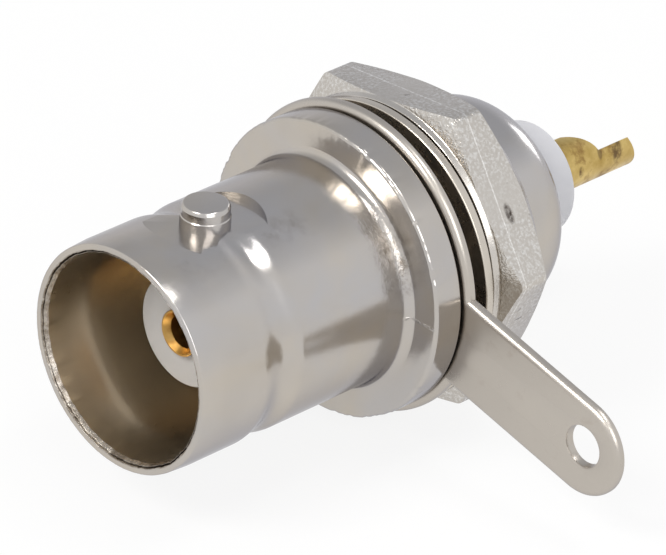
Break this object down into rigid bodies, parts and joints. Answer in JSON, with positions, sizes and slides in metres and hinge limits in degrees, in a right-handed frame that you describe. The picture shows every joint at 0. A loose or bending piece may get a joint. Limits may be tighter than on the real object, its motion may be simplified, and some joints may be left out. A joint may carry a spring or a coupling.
{
  "type": "panel socket",
  "caption": "Round bayonet socket for coaxial cable, with a flanged body, solder tag, lock washer, hex nut and a solder cup behind.",
  "frame": {"origin": "centre of the flange's rear face, which seats on the panel", "axes": "+Y along the axis toward the solder cup, with the mouth toward -Y; +Z through one bayonet stud"},
  "size_m": [0.0224, 0.0285, 0.0134],
  "materials": {
    "bright_nickel": "bright nickel plate on a smooth casting",
    "satin_nickel": "satin nickel plate",
    "cast_nickel": "nickel plate on a grainy casting",
    "insulator": "satin white plastic",
    "gold_plate": "gold plate with brown stains"
  },
  "bodies": {
    "socket": {"shell": "bright_nickel", "front_insulator": "insulator", "rear_insulator": "insulator", "centre_contact": "gold_plate"},
    "tag": {"solder_tag": "satin_nickel"},
    "washer": {"lock_washer": "satin_nickel"},
    "nut": {"hex_nut": "cast_nickel"}
  },
  "joints": [
    {"name": "tag_swivel", "type": "hinge", "parent": "socket", "child": "tag", "pos_m": [0, 0.00033, 0], "axis": [0, 1, 0], "continuous": true},
    {"name": "washer_travel", "type": "slide", "parent": "socket", "child": "washer", "axis": [0, 1, 0], "range_m": [-0.00061, 0.00467]},
    {"name": "nut_screw", "type": "hinge", "parent": "washer", "child": "nut", "pos_m": [0, 0.00341, 0], "axis": [0, 1, 0], "range_deg": [-279, 2121]}
  ],
  "couplings": [
    {"joint": "nut_screw", "follows": "washer_travel", "rad_per_m": 7915.8}
  ]
}
